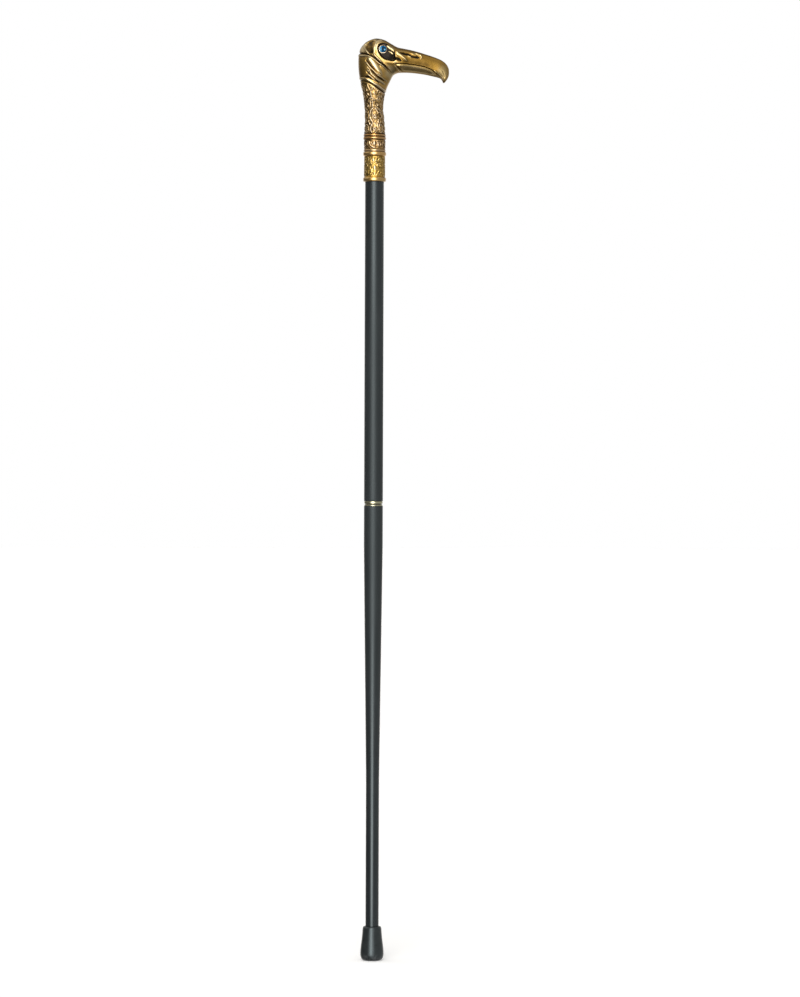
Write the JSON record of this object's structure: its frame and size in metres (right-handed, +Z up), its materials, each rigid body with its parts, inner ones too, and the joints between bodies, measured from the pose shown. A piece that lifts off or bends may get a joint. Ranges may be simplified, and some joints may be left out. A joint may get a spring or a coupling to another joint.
{
  "type": "walking cane",
  "caption": "Take-apart walking cane: cast antique-brass bird-of-prey head handle with blue eyes, black shaft that unscrews at a brass ring, and a rubber tip.",
  "frame": {"origin": "centre of the rubber tip's flat underside", "axes": "+Z up along the shaft, +X the way the beak points, +Y to the bird's left"},
  "size_m": [0.0912, 0.028, 0.9217],
  "materials": {
    "antique_brass": "satin",
    "yellow_brass": "satin",
    "pale_brass": "satin",
    "gold_trim": "polished",
    "blue_glass": "gloss",
    "satin_black": "satin",
    "steel": "satin",
    "rubber_black": "matte",
    "fibre_black": "matte",
    "plastic_black": "satin"
  },
  "bodies": {
    "handle": {"handle_casting": "antique_brass", "eye_setting_left": "gold_trim", "eye_setting_right": "gold_trim", "eye_stone_left": "blue_glass", "eye_stone_right": "blue_glass", "neck_plug": "yellow_brass", "handle_stud": "steel"},
    "handle_ring": {"handle_washer": "fibre_black"},
    "upper_shaft": {"collar": "yellow_brass", "top_insert": "yellow_brass", "upper_tube": "satin_black", "joint_plug": "pale_brass", "joint_stud": "steel"},
    "joint_ring": {"joint_washer": "fibre_black"},
    "lower_shaft": {"joint_socket": "pale_brass", "lower_tube": "satin_black", "end_plug": "plastic_black"},
    "tip": {"rubber_tip": "rubber_black", "tip_washer": "steel"}
  },
  "joints": [
    {"name": "handle_screw_travel", "type": "slide", "parent": "handle", "child": "handle_ring", "axis": [0, 0, -1], "range_m": [0, 0.016]},
    {"name": "handle_screw_turn", "type": "hinge", "parent": "handle_ring", "child": "upper_shaft", "pos_m": [0, 0, 0.8053], "axis": [0, 0, -1], "range_deg": [0, 2880]},
    {"name": "shaft_screw_travel", "type": "slide", "parent": "upper_shaft", "child": "joint_ring", "axis": [0, 0, -1], "range_m": [0, 0.016]},
    {"name": "shaft_screw_turn", "type": "hinge", "parent": "joint_ring", "child": "lower_shaft", "pos_m": [0, 0, 0.4555], "axis": [0, 0, -1], "range_deg": [0, 2880]},
    {"name": "tip_pull", "type": "slide", "parent": "lower_shaft", "child": "tip", "axis": [0, 0, -1], "range_m": [0, 0.032]}
  ],
  "couplings": [
    {"joint": "handle_screw_turn", "follows": "handle_screw_travel", "rad_per_m": 3141.6},
    {"joint": "shaft_screw_turn", "follows": "shaft_screw_travel", "rad_per_m": 3141.6}
  ]
}
